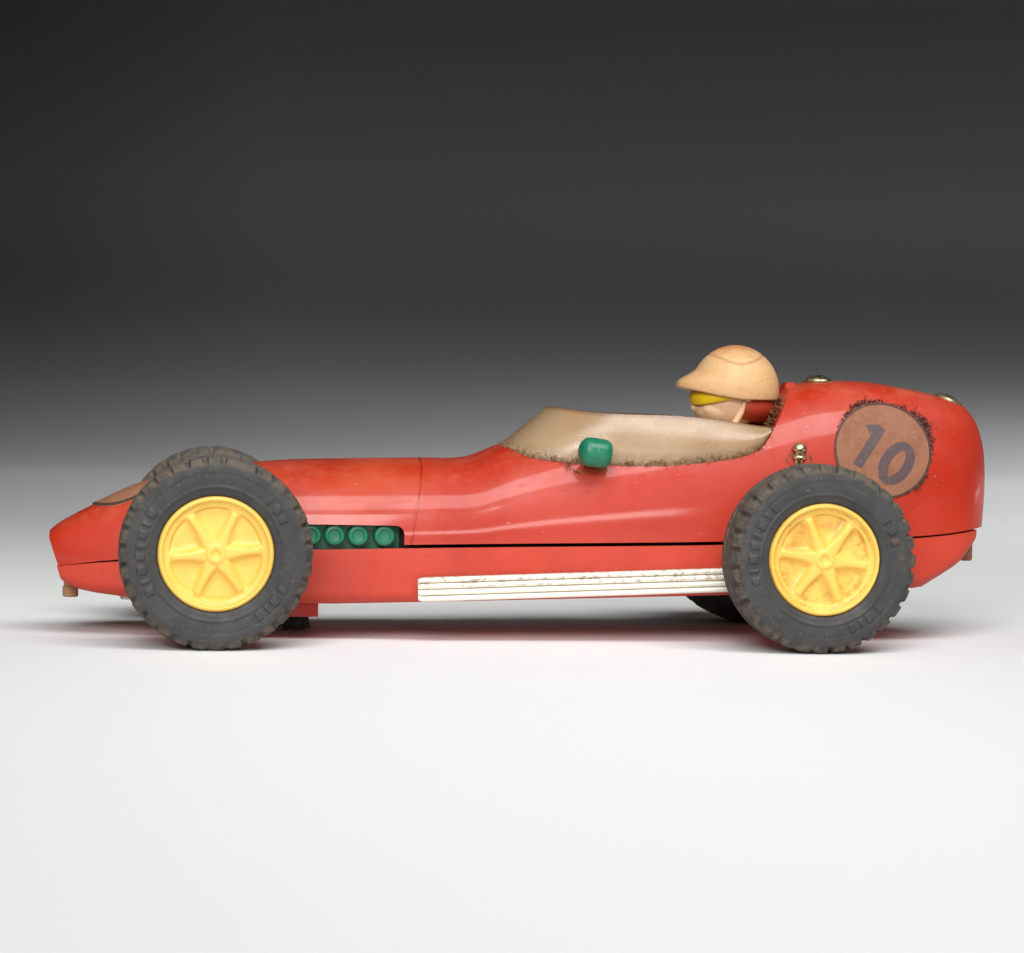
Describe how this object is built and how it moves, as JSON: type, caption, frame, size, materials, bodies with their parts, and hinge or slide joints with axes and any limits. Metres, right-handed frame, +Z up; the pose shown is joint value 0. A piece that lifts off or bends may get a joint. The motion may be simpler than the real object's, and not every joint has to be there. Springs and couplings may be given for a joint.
{
  "type": "toy racing car",
  "caption": "Toy single-seat racing car of moulded plastic with a seated driver, yellow spoked wheels on turning axles and a friction flywheel drive.",
  "frame": {"origin": "middle of the car's length and width, on the surface that the tyres stand on", "axes": "-X to the nose, +X to the tail, +Y to the car's right side, +Z up"},
  "size_m": [0.1702, 0.072, 0.0533],
  "materials": {
    "upper_red": "glossy moulded plastic, scratched and dusty",
    "pan_red": "dull moulded plastic",
    "grille_black": "matt",
    "screen_brown": "aged clear plastic, tanned and dusty",
    "tub_brown": "matt, dusty",
    "bright_steel": "dull bright rod",
    "driver_overalls": "aged cream plastic",
    "driver_skin": "soft plastic",
    "helmet_cream": "aged cream plastic, slightly waxy",
    "goggle_yellow": "painted",
    "flap_brown": "dark red brown",
    "trim_green": "glossy moulded plastic",
    "exhaust_silver": "silver, dusty",
    "cap_chrome": "plated, spotted",
    "disc_paper": "aged brown paper with a worn edge",
    "bearing_plate": "pressed sheet",
    "hub_yellow": "glossy moulded plastic, grimy in the recesses",
    "tyre_rubber": "worn, dusty rubber",
    "gear_brass": "cut teeth",
    "flywheel_iron": "turned",
    "peg_amber": "amber plastic",
    "tab_rust": "rusted sheet",
    "bristle_black": "black fibres"
  },
  "bodies": {
    "car": {"upper_body": "upper_red", "lower_pan": "pan_red", "radiator_grille": "grille_black", "windscreen": "screen_brown", "cockpit_tub": "tub_brown", "dashboard": "tub_brown", "steering_column": "bright_steel", "steering_wheel": "tub_brown", "driver_torso": "driver_overalls", "driver_head": "driver_skin", "driver_helmet": "helmet_cream", "driver_goggles": "goggle_yellow", "driver_neck_flap": "flap_brown", "mirror_left": "trim_green", "mirror_right": "trim_green", "engine_block": "trim_green", "engine_ends_left": "trim_green", "engine_ends_right": "trim_green", "exhaust_left": "exhaust_silver", "exhaust_right": "exhaust_silver", "filler_cap_headrest": "cap_chrome", "filler_cap_tail": "cap_chrome", "side_cap_left": "cap_chrome", "side_cap_right": "cap_chrome", "roundel_left": "disc_paper", "roundel_right": "disc_paper", "roundel_nose": "disc_paper", "front_bearing": "bearing_plate", "motor_plate_left": "bearing_plate", "motor_plate_right": "bearing_plate", "motor_pillars": "bright_steel", "body_screws": "bright_steel", "motor_screws": "bright_steel", "guide_peg": "peg_amber", "tail_clip": "tab_rust", "brush_holder": "pan_red", "bristle_tuft": "bristle_black"},
    "front_wheels": {"front_axle": "bright_steel", "hub_front_left": "hub_yellow", "hub_front_right": "hub_yellow", "tyre_front_left": "tyre_rubber", "tyre_front_right": "tyre_rubber"},
    "rear_wheels": {"rear_axle": "bright_steel", "hub_rear_left": "hub_yellow", "hub_rear_right": "hub_yellow", "tyre_rear_left": "tyre_rubber", "tyre_rear_right": "tyre_rubber", "axle_gear": "gear_brass"},
    "arbor": {"arbor_shaft": "bright_steel", "arbor_pinion": "gear_brass", "arbor_gear": "gear_brass"},
    "flywheel_set": {"flywheel_shaft": "bright_steel", "flywheel_pinion": "gear_brass", "flywheel": "flywheel_iron"}
  },
  "joints": [
    {"name": "front_axle_spin", "type": "hinge", "parent": "car", "child": "front_wheels", "pos_m": [-0.0562, 0, 0.0163], "axis": [0, -1, 0], "continuous": true},
    {"name": "rear_axle_spin", "type": "hinge", "parent": "car", "child": "rear_wheels", "pos_m": [0.0476, 0, 0.0163], "axis": [0, -1, 0], "continuous": true},
    {"name": "arbor_spin", "type": "hinge", "parent": "car", "child": "arbor", "pos_m": [0.05346, 0, 0.02122], "axis": [0, -1, 0], "continuous": true},
    {"name": "flywheel_spin", "type": "hinge", "parent": "car", "child": "flywheel_set", "pos_m": [0.06009, 0, 0.02504], "axis": [0, -1, 0], "continuous": true}
  ],
  "couplings": [
    {"joint": "arbor_spin", "follows": "rear_axle_spin", "ratio": -2.4},
    {"joint": "flywheel_spin", "follows": "rear_axle_spin", "ratio": 5.76}
  ]
}
